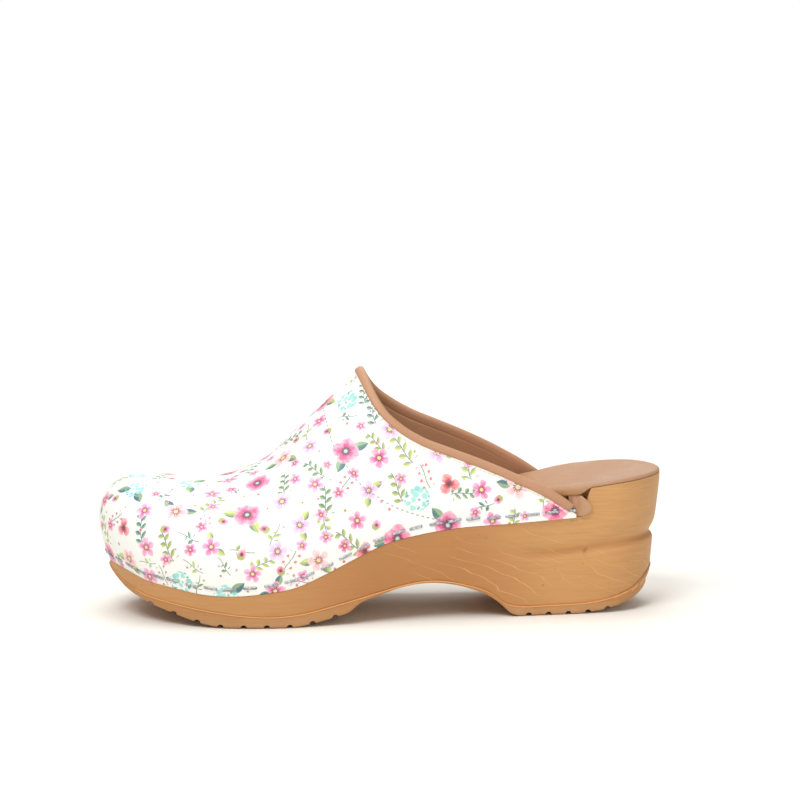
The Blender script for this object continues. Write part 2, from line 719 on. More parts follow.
# ---------------------------------------------------------------- staples and stitches
def frames_mesh(name, places, alongs, normals):
    """A mesh of bare points that carry the direction along a seam and the way out of the leather."""
    mesh = bpy.data.meshes.new(name)
    mesh.from_pydata([tuple(p) for p in places], [], [])
    for label, values in (("along", alongs), ("outward", normals)):
        layer = mesh.attributes.new(label, "FLOAT_VECTOR", "POINT")
        layer.data.foreach_set("vector", np.asarray(values, dtype=np.float32).ravel())
    return mesh


def link(tree, source, target):
    """Joins an output socket to an input socket."""
    tree.links.new(source, target)


def fastener_tree():
    """Geometry nodes: one bent wire on each point, crown along the seam and legs into the leather."""
    tree = bpy.data.node_groups.new("bent wire on each point", "GeometryNodeTree")
    face = tree.interface
    face.new_socket("Geometry", in_out="INPUT", socket_type="NodeSocketGeometry")
    for label in ("Crown Length", "Leg Length", "Wire Width", "Wire Height", "Corner Radius"):
        face.new_socket(label, in_out="INPUT", socket_type="NodeSocketFloat")
    face.new_socket("Material", in_out="INPUT", socket_type="NodeSocketMaterial")
    face.new_socket("Geometry", in_out="OUTPUT", socket_type="NodeSocketGeometry")
    new = tree.nodes.new
    inputs, outputs = new("NodeGroupInput"), new("NodeGroupOutput")

    def math_node(kind, first, second):
        node = new("ShaderNodeMath")
        node.operation = kind
        for socket, value in zip(node.inputs, (first, second)):
            if isinstance(value, (int, float)):
                socket.default_value = value
            else:
                link(tree, value, socket)
        return node.outputs[0]

    def corner(x, z):
        node = new("ShaderNodeCombineXYZ")
        link(tree, x, node.inputs["X"])
        if z is not None:
            link(tree, z, node.inputs["Z"])
        return node.outputs[0]

    half = math_node("MULTIPLY", inputs.outputs["Crown Length"], 0.5)
    other = math_node("MULTIPLY", inputs.outputs["Crown Length"], -0.5)
    depth = math_node("MULTIPLY", inputs.outputs["Leg Length"], -1.0)
    spots = [corner(other, depth), corner(other, None), corner(half, None), corner(half, depth)]
    bends = []
    for start, end in zip(spots, spots[1:]):
        line = new("GeometryNodeCurvePrimitiveLine")
        link(tree, start, line.inputs["Start"])
        link(tree, end, line.inputs["End"])
        bends.append(line.outputs["Curve"])
    join = new("GeometryNodeJoinGeometry")
    for bend in reversed(bends):
        link(tree, bend, join.inputs[0])
    to_mesh = new("GeometryNodeCurveToMesh")
    link(tree, join.outputs[0], to_mesh.inputs["Curve"])
    merge = new("GeometryNodeMergeByDistance")
    link(tree, to_mesh.outputs["Mesh"], merge.inputs["Geometry"])
    merge.inputs["Distance"].default_value = 1e-5
    to_curve = new("GeometryNodeMeshToCurve")
    link(tree, merge.outputs[0], to_curve.inputs["Mesh"])
    fillet = new("GeometryNodeFilletCurve")
    fillet.mode = "POLY"
    fillet.inputs["Count"].default_value = 3
    link(tree, to_curve.outputs[0], fillet.inputs["Curve"])
    link(tree, inputs.outputs["Corner Radius"], fillet.inputs["Radius"])
    quad = new("GeometryNodeCurvePrimitiveQuadrilateral")
    link(tree, inputs.outputs["Wire Height"], quad.inputs["Width"])
    link(tree, inputs.outputs["Wire Width"], quad.inputs["Height"])
    soften = new("GeometryNodeFilletCurve")
    soften.mode = "POLY"
    soften.inputs["Count"].default_value = 1
    link(tree, quad.outputs[0], soften.inputs["Curve"])
    link(tree, math_node("MULTIPLY", inputs.outputs["Wire Height"], 0.3), soften.inputs["Radius"])
    wire = new("GeometryNodeCurveToMesh")
    link(tree, fillet.outputs[0], wire.inputs["Curve"])
    link(tree, soften.outputs[0], wire.inputs["Profile Curve"])
    wire.inputs["Fill Caps"].default_value = True
    turns = None
    for label, axis in (("outward", "Z"), ("along", "X")):
        read = new("GeometryNodeInputNamedAttribute")
        read.data_type = "FLOAT_VECTOR"
        read.inputs["Name"].default_value = label
        align = new("FunctionNodeAlignRotationToVector")
        align.axis = axis
        align.pivot_axis = "AUTO" if axis == "Z" else "Z"
        link(tree, read.outputs["Attribute"], align.inputs["Vector"])
        if turns is not None:
            link(tree, turns, align.inputs["Rotation"])
        turns = align.outputs["Rotation"]
    points = new("GeometryNodeMeshToPoints")
    link(tree, inputs.outputs["Geometry"], points.inputs["Mesh"])
    spread = new("GeometryNodeInstanceOnPoints")
    link(tree, points.outputs[0], spread.inputs["Points"])
    link(tree, wire.outputs[0], spread.inputs["Instance"])
    link(tree, turns, spread.inputs["Rotation"])
    real = new("GeometryNodeRealizeInstances")
    link(tree, spread.outputs[0], real.inputs[0])
    paint = new("GeometryNodeSetMaterial")
    link(tree, real.outputs[0], paint.inputs["Geometry"])
    link(tree, inputs.outputs["Material"], paint.inputs["Material"])
    link(tree, paint.outputs[0], outputs.inputs[0])
    return tree


def fasten(name, spots, wire, material, nodes):
    """Puts a bent wire on every spot, as one plain mesh that stands for the named frame nodes."""
    piece = bpy.data.objects.new(name, frames_mesh(name, *spots))
    bpy.context.scene.collection.objects.link(piece)
    tree = bpy.data.node_groups.get("bent wire on each point") or fastener_tree()
    modifier = piece.modifiers.new("wires", "NODES")
    modifier.node_group = tree
    sockets = {item.name: item.identifier for item in tree.interface.items_tree if item.in_out == "INPUT"}
    for label, value in wire.items():
        modifier[sockets[label]] = value
    modifier[sockets["Material"]] = material
    make_plain(piece)
    piece.data.materials.clear()
    piece.data.materials.append(material)
    for label in ("along", "outward"):
        if label in piece.data.attributes:
            piece.data.attributes.remove(piece.data.attributes[label])
    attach(piece, BODY)
    if nodes:
        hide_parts(*nodes)
    return piece


def skin_frame(length, rise):
    """Places on the upper's skin with the direction round the clog and the way out of the leather."""
    here = form(length, rise)
    along, up = skin_slopes(length, rise)
    along /= np.linalg.norm(along, axis=-1, keepdims=True)
    normal = np.cross(along, up)
    normal *= np.sign((normal * (here - [0, 2 * MM, 30 * MM])).sum(-1, keepdims=True))
    return here, along, normal / np.linalg.norm(normal, axis=-1, keepdims=True)


def spaced(here, pitch, start=0.0):
    """Indices and shares along a line of points for even steps of a pitch."""
    gone = np.concatenate([[0], np.cumsum(np.linalg.norm(np.diff(here, axis=0), axis=1))])
    steps = np.arange(start, gone[-1], pitch)
    return np.interp(steps, gone, np.arange(len(gone)))


STAPLE_ROW = 3.6
STAPLED_TO = 80.5
ROW_SAMPLES = 1600


def build_staples(material, sizes):
    """The zinc staples round the upper's edge and the two short ones at each rear corner."""
    first = float(length_at(STAPLED_TO * MM, True))
    last = float(length_at(STAPLED_TO * MM, False))
    length = np.linspace(first, last, ROW_SAMPLES)
    x = on_ring(length)[0][:, 0]
    rise = -1 + STAPLE_ROW * MM / (widest(x) - feather(x))
    here, _, _ = skin_frame(length, rise)
    chance = random.Random(SEED)
    at = spaced(here, sizes.staple_pitch, 4 * MM)
    at = np.array([k + chance.uniform(-1, 1) * ROW_SAMPLES / 560 * 0.9 for k in at])
    index = np.arange(ROW_SAMPLES)
    at_length, at_rise = np.interp(at, index, length), np.interp(at, index, rise)
    at_rise = at_rise + np.array([chance.uniform(-0.35, 0.35) for _ in at]) * MM / (16 * MM)
    here, along, normal = skin_frame(at_length, at_rise)
    for k in range(len(along)):
        up = np.cross(normal[k], along[k])
        along[k] += up * chance.uniform(-0.06, 0.06)
    wire = {"Crown Length": sizes.staple_crown, "Leg Length": 4 * MM, "Wire Width": 1.25 * MM,
            "Wire Height": 0.6 * MM, "Corner Radius": 0.45 * MM}
    fasten("edge_staples", (here + normal * 0.22 * MM, along, normal), wire, material,
           ["staples_toe", "staples_lateral", "staples_medial"])
    spots = []
    for outer in (True, False):
        for x, lift in ((83.4, 6.1), (86.2, 3.6)):
            length = np.array([float(length_at(x * MM, outer))])
            rise = -1 + lift * MM / (widest(x * MM) - feather(x * MM))
            spots.append(skin_frame(length, np.broadcast_to(rise, np.shape(length))))
    spots = [np.vstack(group) for group in zip(*spots)]
    wire["Crown Length"] = 3.6 * MM
    fasten("corner_staples", (spots[0] + spots[2] * 0.22 * MM, spots[1], spots[2]), wire, material,
           ["staples_corner"])


STITCH = {"Crown Length": 1.75 * MM, "Leg Length": 1.1 * MM, "Wire Width": 0.55 * MM,
          "Wire Height": 0.42 * MM, "Corner Radius": 0.3 * MM}


def build_topline_stitching(material, sizes):
    """The seam just under the rolled edge."""
    spots = []
    for outer in (True, False):
        length, rise = edge_line(5.0 * MM, 84 * MM, outer, 500)
        at = spaced(form(length, rise), sizes.stitch_pitch, 1.25 * MM)
        index = np.arange(500)
        spots.append(skin_frame(np.interp(at, index, length), np.interp(at, index, rise)))
    spots = [np.vstack(group) for group in zip(*spots)]
    here, _, normal = spots
    along = np.gradient(here, axis=0)
    along /= np.linalg.norm(along, axis=1, keepdims=True)
    fasten("topline_seam", (here + normal * 0.1 * MM, along, normal), STITCH, material,
           ["topline_stitching"])


def build_instep_stitching(material, sizes):
    """The dotted seam that curves over the instep on both sides of the foot."""
    spots = []
    for outer in (True, False):
        x = np.linspace(-31 * MM, 31.5 * MM, 700)
        length = length_at(x, outer)
        rise = rise_at(length, lambda x, y: INSTEP_LINE(x))
        inside = rise < 0.97
        length, rise = length[inside], rise[inside]
        at = spaced(form(length, rise), sizes.stitch_pitch * 1.04, 1 * MM)
        index = np.arange(len(length))
        at_length, at_rise = np.interp(at, index, length), np.interp(at, index, rise)
        here, _, normal = skin_frame(at_length, at_rise)
        along = np.gradient(here, axis=0)
        along /= np.linalg.norm(along, axis=1, keepdims=True)
        spots.append((here, along, normal))
    here, along, normal = [np.vstack(group) for group in zip(*spots)]
    here = here - normal * fold_depth(here)[:, None]
    wire = dict(STITCH, **{"Crown Length": 1.2 * MM, "Wire Width": 0.42 * MM, "Wire Height": 0.34 * MM})
    fasten("instep_seam", (here + normal * 0.04 * MM, along, normal), wire, material,
           ["instep_stitching"])


def finish_shank(material):
    """The shank is shown as packed, with a rolled steel finish."""
    shank = bpy.data.objects["shank"]
    for slot in shank.material_slots:
        slot.material = material


# ---------------------------------------------------------------- node helpers
def input_value(tree, socket, value):
    """Sets a socket to a number or colour, or joins another socket to it."""
    if isinstance(value, bpy.types.NodeSocket):
        tree.links.new(value, socket)
    elif value is not None:
        if socket.type == "RGBA" and len(value) == 3:
            value = (*value, 1.0)
        socket.default_value = value


class Board:
    """Short ways to lay nodes in one shader tree."""

    def __init__(self, tree):
        self.tree = tree

    def add(self, kind, output=0, inputs=None, **settings):
        """Adds a node, sets it up and gives back one of its outputs."""
        node = self.tree.nodes.new(kind)
        for label, value in settings.items():
            setattr(node, label, value)
        for label, value in (inputs or {}).items():
            input_value(self.tree, node.inputs[label], value)
        return node.outputs[output]

    def math(self, operation, first, second=None, third=None, clamp=False):
        """A number worked out from up to three numbers."""
        values = {0: first, 1: second, 2: third}
        return self.add("ShaderNodeMath", 0, values, operation=operation, use_clamp=clamp)

    def vector(self, operation, first, second=None, output="Vector"):
        """A vector worked out from one or two vectors."""
        return self.add("ShaderNodeVectorMath", output, {0: first, 1: second}, operation=operation)

    def mix(self, share, first, second, blend="MIX"):
        """A colour between two colours."""
        node = self.tree.nodes.new("ShaderNodeMix")
        node.data_type = "RGBA"
        node.blend_type = blend
        input_value(self.tree, node.inputs[0], share)
        input_value(self.tree, node.inputs[6], first)
        input_value(self.tree, node.inputs[7], second)
        return node.outputs[2]

    def ramp(self, value, low, high, start=0.0, end=1.0, smooth=True):
        """Carries a number from one range to another, clamped."""
        inputs = {"Value": value, "From Min": low, "From Max": high, "To Min": start, "To Max": end}
        kind = "SMOOTHSTEP" if smooth else "LINEAR"
        return self.add("ShaderNodeMapRange", 0, inputs, interpolation_type=kind)

    def noise(self, at, scale, detail=2.0, roughness=0.5, distortion=0.0):
        """Soft clouds between 0 and 1."""
        inputs = {"Vector": at, "Scale": scale, "Detail": detail, "Roughness": roughness,
                  "Distortion": distortion}
        return self.add("ShaderNodeTexNoise", "Fac", inputs)

    def split(self, vector):
        """The three numbers of a vector."""
        node = self.tree.nodes.new("ShaderNodeSeparateXYZ")
        input_value(self.tree, node.inputs[0], vector)
        return node.outputs[0], node.outputs[1], node.outputs[2]

    def join(self, x, y, z):
        """A vector from three numbers."""
        return self.add("ShaderNodeCombineXYZ", 0, {0: x, 1: y, 2: z})

    def place(self):
        """Object coordinates."""
        return self.add("ShaderNodeTexCoord", "Object")

    def group(self, tree, **inputs):
        """Places a node group and gives back its outputs by name."""
        node = self.tree.nodes.new("ShaderNodeGroup")
        node.node_tree = tree
        for label, value in inputs.items():
            input_value(self.tree, node.inputs[label], value)
        return node.outputs

    def bump(self, height, strength, distance):
        """A normal bent by a height."""
        inputs = {"Height": height, "Strength": strength, "Distance": distance}
        return self.add("ShaderNodeBump", "Normal", inputs)


SOCKETS = {"value": "NodeSocketFloat", "vector": "NodeSocketVector", "colour": "NodeSocketColor"}


def new_group(name, inputs, outputs):
    """A shader node group, its board and the sockets inside it, from pairs of socket name and kind."""
    tree = bpy.data.node_groups.new(name, "ShaderNodeTree")
    for way, sockets in (("INPUT", inputs), ("OUTPUT", outputs)):
        for label, kind in sockets:
            tree.interface.new_socket(label, in_out=way, socket_type=SOCKETS[kind])
    given = tree.nodes.new("NodeGroupInput").outputs
    result = tree.nodes.new("NodeGroupOutput").inputs
    return tree, Board(tree), given, result


def leather_grain():
    """Fine pebbled grain with pores and faint wrinkles."""
    name = "leather grain"
    if name in bpy.data.node_groups:
        return bpy.data.node_groups[name]
    tree, board, given, result = new_group(
        name, (("Place", "vector"), ("Pebble Scale", "value")), (("Height", "value"), ("Tone", "value")))
    warp = board.noise(given["Place"], 260.0, 2.0)
    warp = board.math("MULTIPLY", warp, 0.0012)
    moved = board.vector("ADD", given["Place"], board.join(warp, warp, warp))
    inputs = {"Vector": moved, "Scale": given["Pebble Scale"], "Randomness": 0.9}
    cell = board.add("ShaderNodeTexVoronoi", "Distance", inputs, feature="DISTANCE_TO_EDGE")
    pebble = board.ramp(cell, 0.02, 0.35)
    wrinkle = board.noise(given["Place"], 420.0, 4.0, 0.6, 0.4)
    height = board.math("ADD", board.math("MULTIPLY", pebble, 0.6), board.math("MULTIPLY", wrinkle, 0.6))
    cloud = board.noise(given["Place"], 55.0, 3.0, 0.55)
    tone = board.math("ADD", board.math("MULTIPLY", cloud, 0.7), board.math("MULTIPLY", pebble, 0.3))
    input_value(tree, result["Height"], height)
    input_value(tree, result["Tone"], tone)
    return tree


def moulded_wood():
    """The moulded wood look: long grain, slanted pale lines in patches, and small pores."""
    name = "moulded wood"
    if name in bpy.data.node_groups:
        return bpy.data.node_groups[name]
    tree, board, given, result = new_group(
        name, (("Place", "vector"), ("Line Depth", "value")),
        (("Height", "value"), ("Tone", "value"), ("Line", "value"), ("Pore", "value")))
    place = given["Place"]
    warp = board.noise(board.vector("MULTIPLY", place, (18, 18, 60)), 1.0, 2.0, 0.5, 0.3)
    x, y, z = board.split(place)
    slant = board.math("ADD", board.math("MULTIPLY", x, 0.42), z)
    slant = board.math("ADD", slant, board.math("MULTIPLY", warp, 0.016))
    slant = board.math("ADD", slant, board.math("MULTIPLY", y, 0.15))
    fine = board.math("FRACT", board.math("MULTIPLY", slant, 190.0))
    crest_line = board.math("ABSOLUTE", board.math("SUBTRACT", fine, 0.5))
    line = board.ramp(crest_line, 0.0, 0.07, 1.0, 0.0)
    patch = board.ramp(board.noise(place, 24.0, 2.0), 0.52, 0.66)
    line = board.math("MULTIPLY", line, board.math("MULTIPLY", patch, given["Line Depth"]))
    streak = board.noise(board.vector("MULTIPLY", place, (60, 60, 900)), 1.0, 3.0, 0.6, 0.5)
    cloud = board.noise(place, 16.0, 3.0, 0.55)
    inputs = {"Vector": place, "Scale": 165.0, "Randomness": 1.0}
    dots = board.add("ShaderNodeTexVoronoi", "Distance", inputs)
    pore = board.math("MULTIPLY", board.ramp(dots, 0.07, 0.12, 1.0, 0.0),
                      board.ramp(board.noise(place, 40.0), 0.52, 0.6))
    tone = board.math("ADD", board.math("MULTIPLY", streak, 0.45), board.math("MULTIPLY", cloud, 0.55))
    height = board.math("ADD", board.math("MULTIPLY", line, 0.6), board.math("MULTIPLY", streak, 0.35))
    height = board.math("SUBTRACT", height, board.math("MULTIPLY", pore, 0.9))
    for label, value in (("Height", height), ("Tone", tone), ("Line", line), ("Pore", pore)):
        input_value(tree, result[label], value)
    return tree


def new_material(name):
    """A node material, its board and its surface shader."""
    material = bpy.data.materials.new(name)
    material.use_nodes = True
    shader = material.node_tree.nodes["Principled BSDF"]
    return material, Board(material.node_tree), shader


def dress(board, shader, **values):
    """Sets or joins the shader's sockets, written with underscores for spaces."""
    for label, value in values.items():
        input_value(board.tree, shader.inputs[label.replace("_", " ")], value)


def scaled(colour, factor):
    """A colour made lighter or darker."""
    return tuple(min(1.0, channel * factor) for channel in colour[:3])


def sole_material(colour, name="moulded_sole"):
    """Tan polyurethane with a moulded wood look, deeper in the waist."""
    material, board, shader = new_material(name)
    place = board.place()
    wood = board.group(moulded_wood(), Place=place, **{"Line Depth": 1.0})
    x, _, z = board.split(place)
    waist = board.math("MULTIPLY", board.ramp(x, -0.075, 0.0), board.ramp(x, 0.03, 0.085, 1.0, 0.0))
    under = board.ramp(z, 0.012, 0.05, 1.0, 0.0)
    rise = board.ramp(x, 0.076, 0.13, 0.029, 0.0352, smooth=False)
    hollow = board.ramp(board.math("ABSOLUTE", board.math("SUBTRACT", z, rise)), 0.0004, 0.0034, 1.0, 0.0)
    hollow = board.math("MULTIPLY", hollow, board.ramp(x, 0.048, 0.07, 0.0, 0.42))
    deep = board.math("ADD", board.math("MULTIPLY", waist, 0.6), board.math("MULTIPLY", under, 0.22))
    deep = board.math("MAXIMUM", deep, hollow)
    tone = board.mix(board.ramp(wood["Tone"], 0.32, 0.68), scaled(colour, 0.88), scaled(colour, 1.1))
    red = (colour[0] * 0.7, colour[1] * 0.53, colour[2] * 0.37)
    tone = board.mix(deep, tone, red)
    tone = board.mix(board.math("MULTIPLY", wood["Line"], 0.45), tone, scaled(colour, 1.45))
    tone = board.mix(board.math("MULTIPLY", wood["Pore"], 0.4), tone, scaled(colour, 0.55))
    rough = board.ramp(wood["Tone"], 0.3, 0.7, 0.42, 0.56)
    dress(board, shader, Base_Color=tone, Roughness=rough, Specular_IOR_Level=0.4,
          Normal=board.bump(wood["Height"], 0.35, 0.0006))
    return material


def tread_material(colour):
    """The same tan compound, a little worn and dusty underneath."""
    material, board, shader = new_material("tread")
    place = board.place()
    wood = board.group(moulded_wood(), Place=place, **{"Line Depth": 0.2})
    _, _, z = board.split(place)
    dust = board.math("MULTIPLY", board.noise(place, 90.0, 4.0, 0.65), board.ramp(z, 0.0, 0.008, 0.35, 0.0))
    tone = board.mix(board.ramp(wood["Tone"], 0.3, 0.7), scaled(colour, 0.86), scaled(colour, 1.08))
    tone = board.mix(dust, tone, (0.55, 0.42, 0.28))
    lip = board.add("ShaderNodeAttribute", "Fac", attribute_name="lip")
    tone = board.mix(board.math("MULTIPLY", lip, 0.75), tone, scaled(colour, 1.7))
    dress(board, shader, Base_Color=tone, Roughness=board.ramp(dust, 0.0, 0.4, 0.55, 0.7),
          Normal=board.bump(wood["Height"], 0.25, 0.0005))
    return material


def leather_material(name, light, dark, low, high, pebble=1400.0, gloss=0.48, light_corners=False):
    """Brown leather that deepens from one height down to another, but not on light rear corners."""
    material, board, shader = new_material(name)
    place = board.place()
    grain = board.group(leather_grain(), Place=place, **{"Pebble Scale": pebble})
    x, _, z = board.split(place)
    bright = board.ramp(z, low, high)
    if light_corners:
        bright = board.math("MAXIMUM", bright, board.ramp(x, 0.086, 0.088))
    base = board.mix(bright, dark, light)
    base = board.mix(board.ramp(grain["Tone"], 0.35, 0.75, 0.35, 0.0), base, scaled(dark, 0.9))
    rough = board.ramp(grain["Tone"], 0.3, 0.8, gloss + 0.1, gloss - 0.06)
    dress(board, shader, Base_Color=base, Roughness=rough, Specular_IOR_Level=0.35,
          Normal=board.bump(grain["Height"], 0.25, 0.0002))
    return material


def staple_material(colour):
    """Zinc-coated wire, brushed along and slightly dulled."""
    material, board, shader = new_material("zinc_wire")
    place = board.place()
    cloud = board.noise(place, 900.0, 3.0, 0.6)
    tone = board.mix(board.ramp(cloud, 0.35, 0.7), scaled(colour, 0.55), scaled(colour, 1.35))
    dress(board, shader, Base_Color=tone, Metallic=0.9, Roughness=board.ramp(cloud, 0.3, 0.7, 0.28, 0.45))
    return material


def thread_material(name, colour):
    """Twisted thread or fibre."""
    material, board, shader = new_material(name)
    place = board.place()
    x, y, z = board.split(place)
    twist = board.math("SINE", board.math("MULTIPLY", board.math("ADD", x, board.math("ADD", y, z)), 9000.0))
    fibre = board.noise(place, 3000.0, 2.0)
    shade = board.math("ADD", board.math("MULTIPLY", twist, 0.2), fibre)
    tone = board.mix(board.ramp(shade, 0.3, 0.8), scaled(colour, 0.75), scaled(colour, 1.1))
    dress(board, shader, Base_Color=tone, Roughness=0.8, Normal=board.bump(shade, 0.4, 0.0001))
    return material


def foam_material(colour):
    """Open-cell cushion foam."""
    material, board, shader = new_material("cushion_foam")
    place = board.place()
    cell = board.add("ShaderNodeTexVoronoi", "Distance", {"Vector": place, "Scale": 900.0})
    tone = board.mix(board.ramp(cell, 0.1, 0.6), scaled(colour, 1.1), scaled(colour, 0.7))
    dress(board, shader, Base_Color=tone, Roughness=0.95, Normal=board.bump(cell, 0.5, 0.0003))
    return material


def fibre_material(colour):
    """Fibre board of the toe stiffener."""
    material, board, shader = new_material("stiffener_board")
    place = board.place()
    fibre = board.noise(board.vector("MULTIPLY", place, (300, 1200, 1200)), 1.0, 4.0, 0.6, 0.6)
    tone = board.mix(board.ramp(fibre, 0.3, 0.7), scaled(colour, 0.8), scaled(colour, 1.15))
    dress(board, shader, Base_Color=tone, Roughness=0.85, Normal=board.bump(fibre, 0.3, 0.0002))
    return material


def steel_material(colour):
    """Rolled steel strip of the shank, with mill scale."""
    material, board, shader = new_material("shank_steel")
    place = board.place()
    roll = board.noise(board.vector("MULTIPLY", place, (40, 1500, 1500)), 1.0, 3.0, 0.6)
    scale = board.ramp(board.noise(place, 120.0, 4.0, 0.7), 0.5, 0.65)
    tone = board.mix(board.ramp(roll, 0.3, 0.7), scaled(colour, 0.75), scaled(colour, 1.1))
    tone = board.mix(board.math("MULTIPLY", scale, 0.5), tone, (0.16, 0.17, 0.2))
    bare = board.math("SUBTRACT", 1.0, board.math("MULTIPLY", scale, 0.4))
    rough = board.ramp(roll, 0.3, 0.7, 0.3, 0.5)
    dress(board, shader, Base_Color=tone, Metallic=bare, Roughness=rough,
          Normal=board.bump(roll, 0.15, 0.0001))
    return material


def floor_material(colour):
    """A plain pale studio floor."""
    material, board, shader = new_material("studio_floor")
    place = board.place()
    cloud = board.noise(place, 6.0, 2.0)
    tone = board.mix(board.ramp(cloud, 0.3, 0.7), scaled(colour, 0.985), scaled(colour, 1.0))
    far = board.vector("LENGTH", place, output="Value")
    tone = board.mix(board.ramp(far, 0.25, 0.9), tone, (1.0, 1.0, 1.0))
    dress(board, shader, Base_Color=tone, Roughness=0.75, Specular_IOR_Level=0.1)
    return material


def painted_bloom():
    """A watercolour flower, or a cluster of florets, drawn in its own flat coordinates.

    Spot holds the place across and up in flower radii, then the number of petals plus the depth of the
    notches between them. Fewer than one petal means a cluster of florets.
    """
    name = "painted bloom"
    if name in bpy.data.node_groups:
        return bpy.data.node_groups[name]
    tree, board, given, result = new_group(
        name, (("Spot", "vector"), ("Cloud", "value"), ("Tint", "colour"), ("Heart", "colour")),
        (("Colour", "colour"), ("Cover", "value")))
    across, up, kind = board.split(given["Spot"])
    cloud = given["Cloud"]
    bud = board.math("MULTIPLY", board.math("LESS_THAN", kind, 3.0), board.math("GREATER_THAN", kind, 1.0))
    slim = board.math("MULTIPLY", across, board.math("ADD", 1.0, board.math("MULTIPLY", bud, 0.55)))
    flat = board.join(slim, up, 0.0)
    ragged = board.join(board.math("ADD", slim, board.math("MULTIPLY", cloud, 0.3)),
                        board.math("SUBTRACT", up, board.math("MULTIPLY", cloud, 0.3)), 0.0)
    reach = board.vector("LENGTH", flat, output="Value")
    reach = board.math("MULTIPLY", reach, board.math("ADD", 0.86, board.math("MULTIPLY", cloud, 0.28)))
    turn = board.math("ARCTAN2", up, across)
    petals = board.math("FLOOR", kind)
    notch = board.math("FRACT", kind)
    half_turns = board.math("MULTIPLY", petals, 0.5)
    lobe = board.math("ABSOLUTE", board.math("COSINE", board.math("MULTIPLY", turn, half_turns)))
    swell = board.math("POWER", lobe, 0.55)
    edge = board.math("SUBTRACT", 1.0, board.math("MULTIPLY", notch, board.math("SUBTRACT", 1.0, swell)))
    depth = board.math("DIVIDE", reach, edge)
    cover = board.ramp(depth, 0.9, 0.98, 1.0, 0.0)
    gap = board.math("MULTIPLY", board.ramp(lobe, 0.06, 0.3, 0.75, 0.0), board.ramp(notch, 0.25, 0.4))
    gap = board.math("MULTIPLY", gap, board.ramp(reach, 0.25, 0.5))
    wash = board.math("ADD", board.math("MULTIPLY", depth, 0.55), board.math("MULTIPLY", cloud, 0.55))
    pale = board.mix(0.62, given["Tint"], (1.0, 0.90, 0.93))
    deep = board.mix(0.35, given["Tint"], (0.55, 0.02, 0.12), "MULTIPLY")
    colour = board.mix(board.ramp(wash, 0.42, 0.95), given["Tint"], pale)
    colour = board.mix(board.ramp(wash, 0.3, 0.62, 0.9, 0.0), colour, deep)
    veins = board.math("MULTIPLY", petals, 2.0)
    vein = board.math("ABSOLUTE", board.math("SINE", board.math("MULTIPLY", turn, veins)))
    inner = board.ramp(depth, 0.35, 0.75, 1.0, 0.0)
    vein = board.math("MULTIPLY", board.ramp(vein, 0.0, 0.22, 0.45, 0.0), inner)
    colour = board.mix(vein, colour, deep)
    colour = board.mix(gap, colour, (0.93, 0.92, 0.9))
    anther = board.math("COSINE", board.math("MULTIPLY", turn, 11.0))
    ring = board.math("MULTIPLY", board.ramp(anther, 0.1, 0.6), board.ramp(board.math(
        "ABSOLUTE", board.math("SUBTRACT", reach, 0.3)), 0.05, 0.1, 0.9, 0.0))
    colour = board.mix(ring, colour, (0.05, 0.01, 0.03))
    big = board.math("MULTIPLY", board.math("LESS_THAN", kind, 4.9), board.math("GREATER_THAN", kind, 4.0))
    heart = board.mix(board.math("MULTIPLY", big, 0.75), given["Heart"], (0.30, 0.62, 0.66))
    heart = board.mix(board.math("LESS_THAN", kind, 4.0), heart, (0.10, 0.01, 0.04))
    colour = board.mix(board.ramp(reach, 0.15, 0.2, 1.0, 0.0), colour, heart)
    band = board.math("ADD", 0.045, board.math("MULTIPLY", big, 0.05))
    rim = board.math("SUBTRACT", board.math("ABSOLUTE", board.math("SUBTRACT", reach, 0.21)), band)
    colour = board.mix(board.ramp(rim, -0.03, 0.0, 0.85, 0.0), colour, (0.09, 0.02, 0.06))
    sepal = board.math("MULTIPLY", bud, board.ramp(up, -0.3, -0.05, 0.9, 0.0))
    colour = board.mix(sepal, colour, (0.36, 0.46, 0.08))
    inputs = {"Vector": ragged, "Scale": 2.7, "Randomness": 0.55}
    dots = board.tree.nodes.new("ShaderNodeTexVoronoi")
    for label, value in inputs.items():
        input_value(tree, dots.inputs[label], value)
    floret = board.ramp(dots.outputs["Distance"], 0.5, 0.56, 1.0, 0.0)
    floret = board.math("MULTIPLY", floret, board.ramp(reach, 0.8, 0.88, 1.0, 0.0))
    eye = board.ramp(dots.outputs["Distance"], 0.09, 0.15, 0.8, 0.0)
    shade = board.split(dots.outputs["Color"])[0]
    cluster = board.mix(board.ramp(shade, 0.2, 0.8), board.mix(0.25, given["Tint"], (1, 1, 1)),
                        board.mix(0.4, given["Tint"], (0.0, 0.2, 0.25)))
    cluster = board.mix(eye, cluster, (0.75, 0.7, 0.2))
    single = board.ramp(kind, 0.9, 1.1)
    input_value(tree, result["Colour"], board.mix(single, cluster, colour))
    input_value(tree, result["Cover"], board.add("ShaderNodeMix", 0, {0: single, 2: floret, 3: cover}))
    return tree


